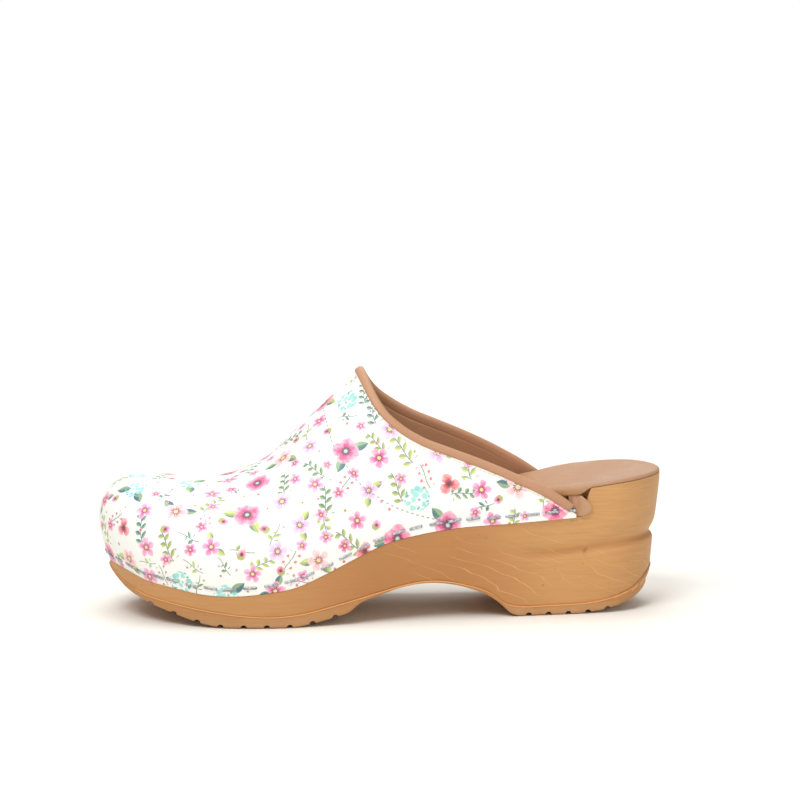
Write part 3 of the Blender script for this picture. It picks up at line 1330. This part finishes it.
def painted_sprig():
    """A watercolour sprig: a thin bent stem with pairs of leaflets, or berries on stalks.

    Spot holds the place across and up in sprig radii, then its kind: 0 leaflets, 1 berries, 2 a bare stem
    with one pair of leaves, 3 broad leaves round a flower.
    """
    name = "painted sprig"
    if name in bpy.data.node_groups:
        return bpy.data.node_groups[name]
    tree, board, given, result = new_group(
        name, (("Spot", "vector"), ("Cloud", "value"), ("Tint", "colour")),
        (("Colour", "colour"), ("Cover", "value")))
    across, up, kind = board.split(given["Spot"])
    bend = board.math("MULTIPLY", board.math("SINE", board.math("MULTIPLY", up, 2.1)), 0.16)
    off = board.math("SUBTRACT", across, bend)
    side = board.math("GREATER_THAN", off, 0.0)
    away = board.math("ABSOLUTE", off)
    ladder = board.math("MULTIPLY", board.math("ADD", up, board.math("MULTIPLY", side, 0.24)), 2.0)
    step = board.math("DIVIDE", board.math("SUBTRACT", board.math("FRACT", ladder), 0.16), 2.0)
    along = board.math("ADD", board.math("MULTIPLY", away, 0.78), board.math("MULTIPLY", step, 0.62))
    wide = board.math("SUBTRACT", board.math("MULTIPLY", step, 0.78), board.math("MULTIPLY", away, 0.62))
    taper = board.ramp(up, -0.9, 0.95, 0.66, 0.40, smooth=False)
    share = board.math("DIVIDE", along, taper)
    body = board.math("MULTIPLY", board.math("SINE", board.math("MULTIPLY", share, math.pi)), 0.125)
    begun = board.math("GREATER_THAN", share, 0.0)
    inside = board.math("MULTIPLY", begun, board.math("LESS_THAN", share, 1.0))
    leaf = board.ramp(board.math("SUBTRACT", board.math("ABSOLUTE", wide), body), -0.02, 0.012, 1.0, 0.0)
    leaf = board.math("MULTIPLY", leaf, inside)
    off_kind = board.math("ABSOLUTE", board.math("SUBTRACT", kind, 2.0))
    lone = board.math("MULTIPLY", board.math("LESS_THAN", off_kind, 0.5),
                      board.math("GREATER_THAN", board.math("ABSOLUTE", board.math("ADD", up, 0.1)), 0.3))
    leaf = board.math("MULTIPLY", leaf, board.math("SUBTRACT", 1.0, lone))
    from_berry = board.join(board.math("SUBTRACT", along, 0.46), wide, 0.0)
    berry = board.vector("LENGTH", from_berry, output="Value")
    berry = board.ramp(berry, 0.09, 0.12, 1.0, 0.0)
    stalk = board.math("MULTIPLY", board.ramp(board.math("ABSOLUTE", wide), 0.008, 0.022, 0.8, 0.0),
                       board.ramp(along, 0.42, 0.46, 1.0, 0.0))
    berries = board.math("LESS_THAN", board.math("ABSOLUTE", board.math("SUBTRACT", kind, 1.0)), 0.5)
    growth = board.add("ShaderNodeMix", 0, {0: berries, 2: leaf, 3: board.math("MAXIMUM", berry, stalk)})
    stem = board.math("MULTIPLY", board.ramp(away, 0.018, 0.042, 0.95, 0.0),
                      board.ramp(board.math("ABSOLUTE", up), 0.86, 0.92, 1.0, 0.0))
    growth = board.math("MULTIPLY", growth, board.ramp(board.math("ABSOLUTE", up), 0.8, 0.86, 1.0, 0.0))
    spray = board.math("MAXIMUM", growth, stem)
    fan = board.math("ABSOLUTE", across)
    ray = board.math("ADD", board.math("MULTIPLY", fan, 0.9), board.math("MULTIPLY", up, 0.436))
    cross = board.math("SUBTRACT", board.math("MULTIPLY", up, 0.9), board.math("MULTIPLY", fan, 0.436))
    broad_share = board.ramp(ray, 0.2, 0.98, smooth=False)
    bulge_share = board.math("SINE", board.math("MULTIPLY", broad_share, math.pi))
    broad_body = board.math("MULTIPLY", bulge_share, 0.2)
    past_body = board.math("SUBTRACT", board.math("ABSOLUTE", cross), broad_body)
    broad = board.ramp(past_body, -0.025, 0.012, 1.0, 0.0)
    broad = board.math("MULTIPLY", broad, board.math("LESS_THAN", ray, 0.98))
    fans = board.math("GREATER_THAN", kind, 2.5)
    cover = board.add("ShaderNodeMix", 0, {0: fans, 2: spray, 3: broad})
    half = board.add("ShaderNodeMix", 0, {0: fans, 2: wide, 3: cross})
    dark = board.mix(0.8, given["Tint"], (0.02, 0.10, 0.14), "MIX")
    light = board.mix(0.3, given["Tint"], (0.72, 0.82, 0.28))
    tone = board.mix(board.ramp(half, -0.012, 0.012), light, given["Tint"])
    clouded = board.math("ADD", half, board.math("MULTIPLY", given["Cloud"], 0.14))
    tone = board.mix(board.ramp(clouded, 0.09, 0.17, 0.0, 0.85),
                     tone, dark)
    rib = board.ramp(board.math("ABSOLUTE", half), 0.004, 0.016, 0.7, 0.0)
    tone = board.mix(rib, tone, dark)
    tone = board.mix(board.math("MULTIPLY", stem, board.math("SUBTRACT", 1.0, fans)), tone, dark)
    berry_share = board.math("MULTIPLY", berries, board.math("MULTIPLY", berry, 0.8))
    tone = board.mix(berry_share, tone, (0.75, 0.12, 0.25))
    tone = board.mix(board.ramp(given["Cloud"], 0.5, 0.8, 0.0, 0.3), tone, (0.93, 0.92, 0.85))
    input_value(tree, result["Colour"], tone)
    input_value(tree, result["Cover"], cover)
    return tree


def print_material(colours):
    """White leather with a printed garden of flowers."""
    material, board, shader = new_material("floral_leather")
    place = board.place()
    grain = board.group(leather_grain(), Place=place, **{"Pebble Scale": 1900.0})
    pale, clean = scaled(colours.ground, 0.985), scaled(colours.ground, 1.0)
    paint = board.mix(board.ramp(grain["Tone"], 0.3, 0.8), pale, clean)
    cloud = board.noise(place, 420.0, 2.0, 0.6)
    for layer in ("twig", "sprig", "bloom", "bud"):
        spot = board.add("ShaderNodeAttribute", "Vector", attribute_name=layer + "_spot")
        tint = board.add("ShaderNodeAttribute", "Color", attribute_name=layer + "_tint")
        if layer in ("twig", "sprig"):
            motif = board.group(painted_sprig(), Spot=spot, Cloud=cloud, Tint=tint)
        else:
            heart = (0.75, 0.62, 0.16) if layer == "bud" else colours.heart
            motif = board.group(painted_bloom(), Spot=spot, Cloud=cloud, Tint=tint, Heart=tuple(heart))
        paint = board.mix(board.math("MULTIPLY", motif["Cover"], 0.93), paint, motif["Colour"])
    dress(board, shader, Base_Color=paint, Roughness=0.42, Specular_IOR_Level=0.35,
          Normal=board.bump(grain["Height"], 0.12, 0.0002))
    return material


# Each flower or sprig: share of the pattern, radius in millimetres, kind, and tints it may have.
BLOOMS = (
    (0.12, (6.6, 7.4), 4.24, ((0.80, 0.07, 0.25), (0.72, 0.05, 0.24))),
    (0.05, (5.2, 6.0), 4.27, ((0.55, 0.02, 0.07), (0.60, 0.03, 0.14))),
    (0.26, (5.4, 6.4), 5.52, ((0.90, 0.42, 0.46), (0.92, 0.50, 0.50))),
    (0.11, (4.8, 5.6), 5.46, ((0.80, 0.45, 0.72), (0.86, 0.52, 0.74))),
    (0.22, (4.4, 5.3), 5.56, ((0.86, 0.20, 0.45), (0.84, 0.14, 0.38))),
    (0.12, (6.4, 7.6), 0.50, ((0.10, 0.60, 0.50), (0.14, 0.64, 0.56))),
    (0.09, (4.6, 5.4), 3.62, ((0.78, 0.08, 0.10), (0.75, 0.12, 0.16))),
)
LEAF_TINTS = ((0.42, 0.52, 0.08), (0.34, 0.42, 0.07), (0.50, 0.58, 0.14), (0.05, 0.22, 0.18),
              (0.03, 0.15, 0.17),
              (0.12, 0.26, 0.10))
SPRIGS = ((0.66, (6.6, 9.2), 0.0), (0.14, (5.6, 7.2), 1.0), (0.20, (5.6, 7.0), 2.0))
BUDS = (
    (0.36, (2.7, 3.4), 5.50, ((0.84, 0.12, 0.38), (0.86, 0.22, 0.48))),
    (0.42, (2.8, 3.5), 2.30, ((0.84, 0.20, 0.42), (0.80, 0.10, 0.28))),
    (0.10, (0.7, 1.0), 4.10, ((0.80, 0.40, 0.60), (0.60, 0.55, 0.12), (0.80, 0.20, 0.20))),
)


def pick(chance, table):
    """One row of a table, chosen by the shares in its first column."""
    draw = chance.random() * sum(row[0] for row in table)
    for row in table:
        draw -= row[0]
        if draw <= 0:
            return row
    return table[-1]


def clear_of(centre, radius, placed, gap):
    """Whether a motif stands clear of those placed, each a centre and a radius."""
    return all(np.dot(centre - spot, centre - spot) > (radius + reach + gap) ** 2 for spot, reach in placed)


def scatter_motifs(centres, normals, areas):
    """Tosses flowers, sprigs and buds over the leather, none over another of its own layer."""
    chance = random.Random(SEED)
    draws = np.random.RandomState(SEED).choice(len(centres), 12000, p=areas / areas.sum())
    layers = {"bloom": [], "sprig": [], "twig": [], "bud": []}
    taken = {"bloom": [], "sprig": [], "twig": [], "bud": []}

    def toss(layer, k, radius, kind, tint, turn=None):
        normal = normals[k]
        up = np.array([0, 0, 1.0]) - normal * normal[2]
        if np.linalg.norm(up) < 0.3:
            up = np.array([1.0, 0, 0]) - normal * normal[0]
        up /= np.linalg.norm(up)
        side = np.cross(up, normal)
        angle = chance.uniform(0, 2 * math.pi) if turn is None else turn
        upward = up * math.cos(angle) + side * math.sin(angle)
        across = np.cross(upward, normal) / radius
        layers[layer].append((centres[k], across, upward / radius, radius, kind, tint))
        taken[layer].append((centres[k], radius))

    for k in draws[:2600]:
        _, sizes, kind, tints = pick(chance, BLOOMS)
        radius = chance.uniform(*sizes) * MM
        if clear_of(centres[k], radius, taken["bloom"], 3.6 * MM):
            toss("bloom", k, radius, kind, chance.choice(tints))
            if chance.random() < 0.8:
                reach = radius * 1.7
                if clear_of(centres[k], reach, taken["sprig"], 0.2 * MM):
                    toss("sprig", k, reach, 3.0, chance.choice(LEAF_TINTS))
    for k in draws[2600:6000]:
        _, sizes, kind = pick(chance, SPRIGS)
        radius = chance.uniform(*sizes) * MM
        if clear_of(centres[k], radius * 0.4, taken["bloom"], 0.0) and clear_of(
                centres[k], radius * 0.66, taken["sprig"], 0.0):
            toss("sprig", k, radius, kind, chance.choice(LEAF_TINTS), chance.gauss(0, 0.9))
    for k in draws[9000:]:
        _, sizes, kind = pick(chance, SPRIGS)
        radius = chance.uniform(*sizes) * MM
        if clear_of(centres[k], radius * 0.25, taken["bloom"], 0.0) and clear_of(
                centres[k], radius * 0.42, taken["sprig"], 0.0) and clear_of(
                centres[k], radius * 0.7, taken["twig"], 0.0):
            toss("twig", k, radius, kind, chance.choice(LEAF_TINTS), chance.gauss(0, 1.1))
    for k in draws[6000:9000]:
        _, sizes, kind, tints = pick(chance, BUDS)
        radius = chance.uniform(*sizes) * MM
        if clear_of(centres[k], radius, taken["bloom"], 0.8 * MM) and clear_of(
                centres[k], radius, taken["bud"], 3.2 * MM):
            toss("bud", k, radius, kind, chance.choice(tints))
    return layers


def lay_print(piece):
    """Writes each motif's own flat coordinates and tint on the faces that it covers."""
    mesh = piece.data
    count, corners = len(mesh.polygons), len(mesh.loops)
    centres, normals, areas = np.empty(count * 3), np.empty(count * 3), np.empty(count)
    mesh.polygons.foreach_get("center", centres)
    mesh.polygons.foreach_get("normal", normals)
    mesh.polygons.foreach_get("area", areas)
    centres, normals = centres.reshape(-1, 3), normals.reshape(-1, 3)
    places, index, face_of = np.empty(len(mesh.vertices) * 3), np.empty(corners, int), np.empty(count, int)
    mesh.vertices.foreach_get("co", places)
    mesh.loops.foreach_get("vertex_index", index)
    mesh.polygons.foreach_get("loop_total", face_of)
    places = places.reshape(-1, 3)[index]
    face_of = np.repeat(np.arange(count), face_of)
    for layer, motifs in scatter_motifs(centres, normals, areas).items():
        if not motifs:
            raise RuntimeError("the print has no " + layer)
        middle = np.array([m[0] for m in motifs])
        radius = np.array([m[3] for m in motifs])
        gap = np.full(count, 9.0)
        owner = np.zeros(count, int)
        for k in range(len(motifs)):
            far = np.linalg.norm(centres - middle[k], axis=1) / radius[k]
            facing = normals @ np.cross(motifs[k][1], motifs[k][2]) * radius[k] ** 2
            far[np.abs(facing) < 0.35] = 9.0
            nearer = far < gap
            gap[nearer], owner[nearer] = far[nearer], k
        mine = owner[face_of]
        offset = places - middle[mine]
        side, upward = np.array([m[1] for m in motifs])[mine], np.array([m[2] for m in motifs])[mine]
        spot = np.stack([(offset * side).sum(1), (offset * upward).sum(1),
                         np.array([m[4] for m in motifs])[mine]], 1)
        spot[gap[face_of] > 1.5] = (9.0, 9.0, 4.5)
        tint = np.array([(*m[5], 1.0) for m in motifs])[mine]
        drawn = mesh.attributes.new(layer + "_spot", "FLOAT_VECTOR", "CORNER")
        drawn.data.foreach_set("vector", spot.ravel())
        mesh.attributes.new(layer + "_tint", "FLOAT_COLOR", "CORNER").data.foreach_set("color", tint.ravel())


# ---------------------------------------------------------------- stage
FLOOR_RADIUS = 1.0
FLOOR_GAP = 0.2 * MM
ROOM_LIGHT = 0.4
BACKDROP = 1.02
AIMED_AT = (0, 0, 0.04)
LIGHTS = (
    ("key", (-0.5, -0.85, 1.25), 0.8, 14.0), ("fill", (0.7, -1.3, 0.35), 1.2, 5.0),
    ("top", (0.0, 0.1, 1.4), 1.1, 10.0), ("back", (0.1, 1.1, 0.8), 1.2, 4.0))
CAMERA_AT = (-0.1168, -1.3767, 0.2732)
CAMERA_TURN, CAMERA_TILT = math.radians(84.79), math.radians(7.199)
CAMERA_LENS, SENSOR_WIDTH = 132.77, 36.0


def build_stage(colours):
    """A pale round floor, soft studio lights and the camera."""
    disc = bmesh.new()
    bmesh.ops.create_circle(disc, cap_ends=True, segments=96, radius=FLOOR_RADIUS)
    bmesh.ops.translate(disc, verts=disc.verts, vec=(0, 0, -FLOOR_GAP))
    mesh = bpy.data.meshes.new("floor")
    disc.to_mesh(mesh)
    disc.free()
    floor = bpy.data.objects.new("floor", mesh)
    bpy.context.scene.collection.objects.link(floor)
    mesh.materials.append(floor_material(colours.floor))
    for name, at, size, power in LIGHTS:
        data = bpy.data.lights.new(name, "AREA")
        data.shape = "DISK"
        data.size = size
        data.energy = power
        lamp = bpy.data.objects.new(name, data)
        lamp.location = at
        lamp.rotation_euler = (Vector(AIMED_AT) - Vector(at)).to_track_quat("-Z", "Y").to_euler()
        bpy.context.scene.collection.objects.link(lamp)
    world = bpy.data.worlds.new("studio")
    world.use_nodes = True
    board = Board(world.node_tree)
    seen = board.add("ShaderNodeLightPath", "Is Camera Ray")
    strength = board.add("ShaderNodeMapRange", 0, {"Value": seen, "To Min": ROOM_LIGHT, "To Max": BACKDROP})
    back = world.node_tree.nodes["Background"]
    input_value(world.node_tree, back.inputs["Color"], (1.0, 1.0, 1.0))
    input_value(world.node_tree, back.inputs["Strength"], strength)
    bpy.context.scene.world = world
    bpy.context.scene.view_settings.view_transform = "Standard"
    level = math.cos(CAMERA_TILT)
    forward = Vector((math.cos(CAMERA_TURN) * level, math.sin(CAMERA_TURN) * level, -math.sin(CAMERA_TILT)))
    data = bpy.data.cameras.new("camera")
    data.lens = CAMERA_LENS
    data.sensor_width = SENSOR_WIDTH
    data.clip_start, data.clip_end = 0.1, 20.0
    camera = bpy.data.objects.new("camera", data)
    camera.location = CAMERA_AT
    camera.rotation_euler = forward.to_track_quat("-Z", "Y").to_euler()
    bpy.context.scene.collection.objects.link(camera)
    bpy.context.scene.camera = camera


# ---------------------------------------------------------------- settings
def colour_setting(name, description, value):
    """A colour that a user may change."""
    return bpy.props.FloatVectorProperty(name=name, description=description, default=value, size=3,
                                         min=0.0, max=1.0, subtype="COLOR")


def length_setting(name, description, value):
    """A length that a user may change, given in millimetres and kept in metres."""
    return bpy.props.FloatProperty(name=name, description=description, default=value * MM,
                                   min=0.1 * MM, subtype="DISTANCE", unit="LENGTH")


class ClogSizes(bpy.types.PropertyGroup):
    """Sizes that a user may change."""
    upper: length_setting("Upper thickness", "Thickness of the printed leather", 1.6)
    lining: length_setting("Lining thickness", "Thickness of the lining leather", 1.2)
    sock: length_setting("Sock thickness", "Thickness of the footbed leather", 1.2)
    groove: length_setting("Groove radius", "Radius of the grooves across the tread", 1.55)
    staple_crown: length_setting("Staple crown", "Length of a staple's crown", 6.0)
    staple_pitch: length_setting("Staple pitch", "Spacing of the staples", 9.2)
    stitch_pitch: length_setting("Stitch pitch", "Spacing of the stitches under the opening", 2.5)


class ClogColours(bpy.types.PropertyGroup):
    """Colours of the clog and its stage."""
    sole: colour_setting("Sole", "Colour of the moulded sole", (0.55, 0.285, 0.105))
    tread: colour_setting("Tread", "Colour of the tread layer", (0.465, 0.215, 0.07))
    ground: colour_setting("Ground", "Leather colour under the print", (0.88, 0.88, 0.835))
    heart: colour_setting("Flower heart", "Middle of the large printed flowers", (0.78, 0.66, 0.22))
    edge: colour_setting("Edge", "Rolled edge of the opening", (0.50, 0.265, 0.15))
    edge_deep: colour_setting("Edge shade", "Worn creases of the rolled edge", (0.42, 0.21, 0.11))
    lining: colour_setting("Lining", "Lining near the opening", (0.55, 0.31, 0.17))
    lining_deep: colour_setting("Lining shade", "Lining down in the shoe", (0.33, 0.155, 0.08))
    sock: colour_setting("Sock", "Footbed leather on top", (0.425, 0.245, 0.147))
    sock_deep: colour_setting("Sock rim", "Footbed leather on the heel's rim", (0.41, 0.2, 0.085))
    staple: colour_setting("Staples", "Zinc of the staples", (0.46, 0.48, 0.51))
    thread: colour_setting("Thread", "Thread of the seams", (0.86, 0.83, 0.76))
    instep_thread: colour_setting("Instep thread", "Thread over the instep", (0.42, 0.33, 0.33))
    foam: colour_setting("Foam", "Cushion under the sock", (0.75, 0.68, 0.45))
    board: colour_setting("Stiffener", "Fibre board of the toe", (0.45, 0.36, 0.26))
    steel: colour_setting("Shank", "Steel of the shank", (0.45, 0.46, 0.48))
    cord: colour_setting("Cord", "Cord in the rolled edge", (0.62, 0.56, 0.46))
    floor: colour_setting("Floor", "Studio floor", (0.86, 0.845, 0.79))


class CLOG_OT_sole(bpy.types.Operator):
    """Builds the moulded sole"""
    bl_idname = "clog.sole"
    bl_label = "Moulded sole"

    def execute(self, context):
        colours = context.scene.clog_colours
        build_sole_body(sole_material(colours.sole))
        return {"FINISHED"}


class CLOG_OT_tread(bpy.types.Operator):
    """Builds the grooved tread layer"""
    bl_idname = "clog.tread"
    bl_label = "Tread layer"

    def execute(self, context):
        sizes = context.scene.clog_sizes
        colours = context.scene.clog_colours
        build_outsole(tread_material(colours.tread), sizes)
        return {"FINISHED"}


class CLOG_OT_shank(bpy.types.Operator):
    """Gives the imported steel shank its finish"""
    bl_idname = "clog.shank"
    bl_label = "Shank"

    def execute(self, context):
        colours = context.scene.clog_colours
        finish_shank(steel_material(colours.steel))
        return {"FINISHED"}


class CLOG_OT_footbed(bpy.types.Operator):
    """Builds the cushion and the leather sock"""
    bl_idname = "clog.footbed"
    bl_label = "Footbed"

    def execute(self, context):
        sizes = context.scene.clog_sizes
        colours = context.scene.clog_colours
        build_footbed_foam(foam_material(colours.foam))
        sock = leather_material("sock_leather", colours.sock, colours.sock_deep, 0.0565, 0.0625, 1100.0)
        build_footbed_cover(sock, sizes)
        return {"FINISHED"}


class CLOG_OT_upper(bpy.types.Operator):
    """Builds the printed leather upper"""
    bl_idname = "clog.upper"
    bl_label = "Printed upper"

    def execute(self, context):
        sizes = context.scene.clog_sizes
        colours = context.scene.clog_colours
        build_upper(print_material(colours), sizes)
        return {"FINISHED"}


class CLOG_OT_lining(bpy.types.Operator):
    """Builds the brown lining with its rear corners"""
    bl_idname = "clog.lining"
    bl_label = "Lining"

    def execute(self, context):
        sizes = context.scene.clog_sizes
        colours = context.scene.clog_colours
        lining = leather_material("lining_leather", colours.lining, colours.lining_deep, 0.045, 0.098,
                                  1500.0, light_corners=True)
        build_lining(lining, sizes)
        return {"FINISHED"}


class CLOG_OT_stiffener(bpy.types.Operator):
    """Builds the stiffener over the toes"""
    bl_idname = "clog.stiffener"
    bl_label = "Toe stiffener"

    def execute(self, context):
        colours = context.scene.clog_colours
        build_toe_puff(fibre_material(colours.board))
        return {"FINISHED"}


class CLOG_OT_edge(bpy.types.Operator):
    """Builds the rolled edge and the cord inside it"""
    bl_idname = "clog.edge"
    bl_label = "Rolled edge"

    def execute(self, context):
        colours = context.scene.clog_colours
        edge = leather_material("edge_leather", colours.edge, colours.edge_deep, 0.02, 0.06, 1700.0, 0.42)
        build_binding(edge)
        build_edge_cord(thread_material("cord_fibre", colours.cord))
        return {"FINISHED"}


class CLOG_OT_staples(bpy.types.Operator):
    """Puts the staples round the upper's edge"""
    bl_idname = "clog.staples"
    bl_label = "Staples"

    def execute(self, context):
        sizes = context.scene.clog_sizes
        colours = context.scene.clog_colours
        build_staples(staple_material(colours.staple), sizes)
        return {"FINISHED"}


class CLOG_OT_seams(bpy.types.Operator):
    """Sews the seams under the opening and over the instep"""
    bl_idname = "clog.seams"
    bl_label = "Seams"

    def execute(self, context):
        sizes = context.scene.clog_sizes
        colours = context.scene.clog_colours
        thread = thread_material("seam_thread", colours.thread)
        build_topline_stitching(thread, sizes)
        build_instep_stitching(thread_material("instep_thread", colours.instep_thread), sizes)
        return {"FINISHED"}


class CLOG_OT_stage(bpy.types.Operator):
    """Builds the floor, the lights and the camera"""
    bl_idname = "clog.stage"
    bl_label = "Studio"

    def execute(self, context):
        colours = context.scene.clog_colours
        build_stage(colours)
        return {"FINISHED"}


OPERATORS = (
    CLOG_OT_sole, CLOG_OT_tread, CLOG_OT_shank, CLOG_OT_footbed, CLOG_OT_upper, CLOG_OT_lining,
    CLOG_OT_stiffener, CLOG_OT_edge, CLOG_OT_staples, CLOG_OT_seams, CLOG_OT_stage)


class CLOG_PT_panel(bpy.types.Panel):
    """Lists the clog's pieces in the order they are built"""
    bl_idname = "CLOG_PT_panel"
    bl_label = "Clog"
    bl_space_type = "VIEW_3D"
    bl_region_type = "UI"
    bl_category = "Clog"

    def draw(self, context):
        for step in OPERATORS:
            self.layout.operator(step.bl_idname)
        for settings in (context.scene.clog_sizes, context.scene.clog_colours):
            for label in settings.bl_rna.properties.keys():
                if label not in ("rna_type", "name"):
                    self.layout.prop(settings, label)


CLASSES = (ClogSizes, ClogColours) + OPERATORS + (CLOG_PT_panel,)


def register():
    for kind in CLASSES:
        bpy.utils.register_class(kind)
    bpy.types.Scene.clog_sizes = bpy.props.PointerProperty(type=ClogSizes)
    bpy.types.Scene.clog_colours = bpy.props.PointerProperty(type=ClogColours)


def unregister():
    del bpy.types.Scene.clog_colours
    del bpy.types.Scene.clog_sizes
    for kind in reversed(CLASSES):
        bpy.utils.unregister_class(kind)


def main():
    """Registers the add-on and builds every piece."""
    register()
    for step in OPERATORS:
        getattr(bpy.ops.clog, step.bl_idname.split(".")[1])()


if __name__ == "__main__":
    main()
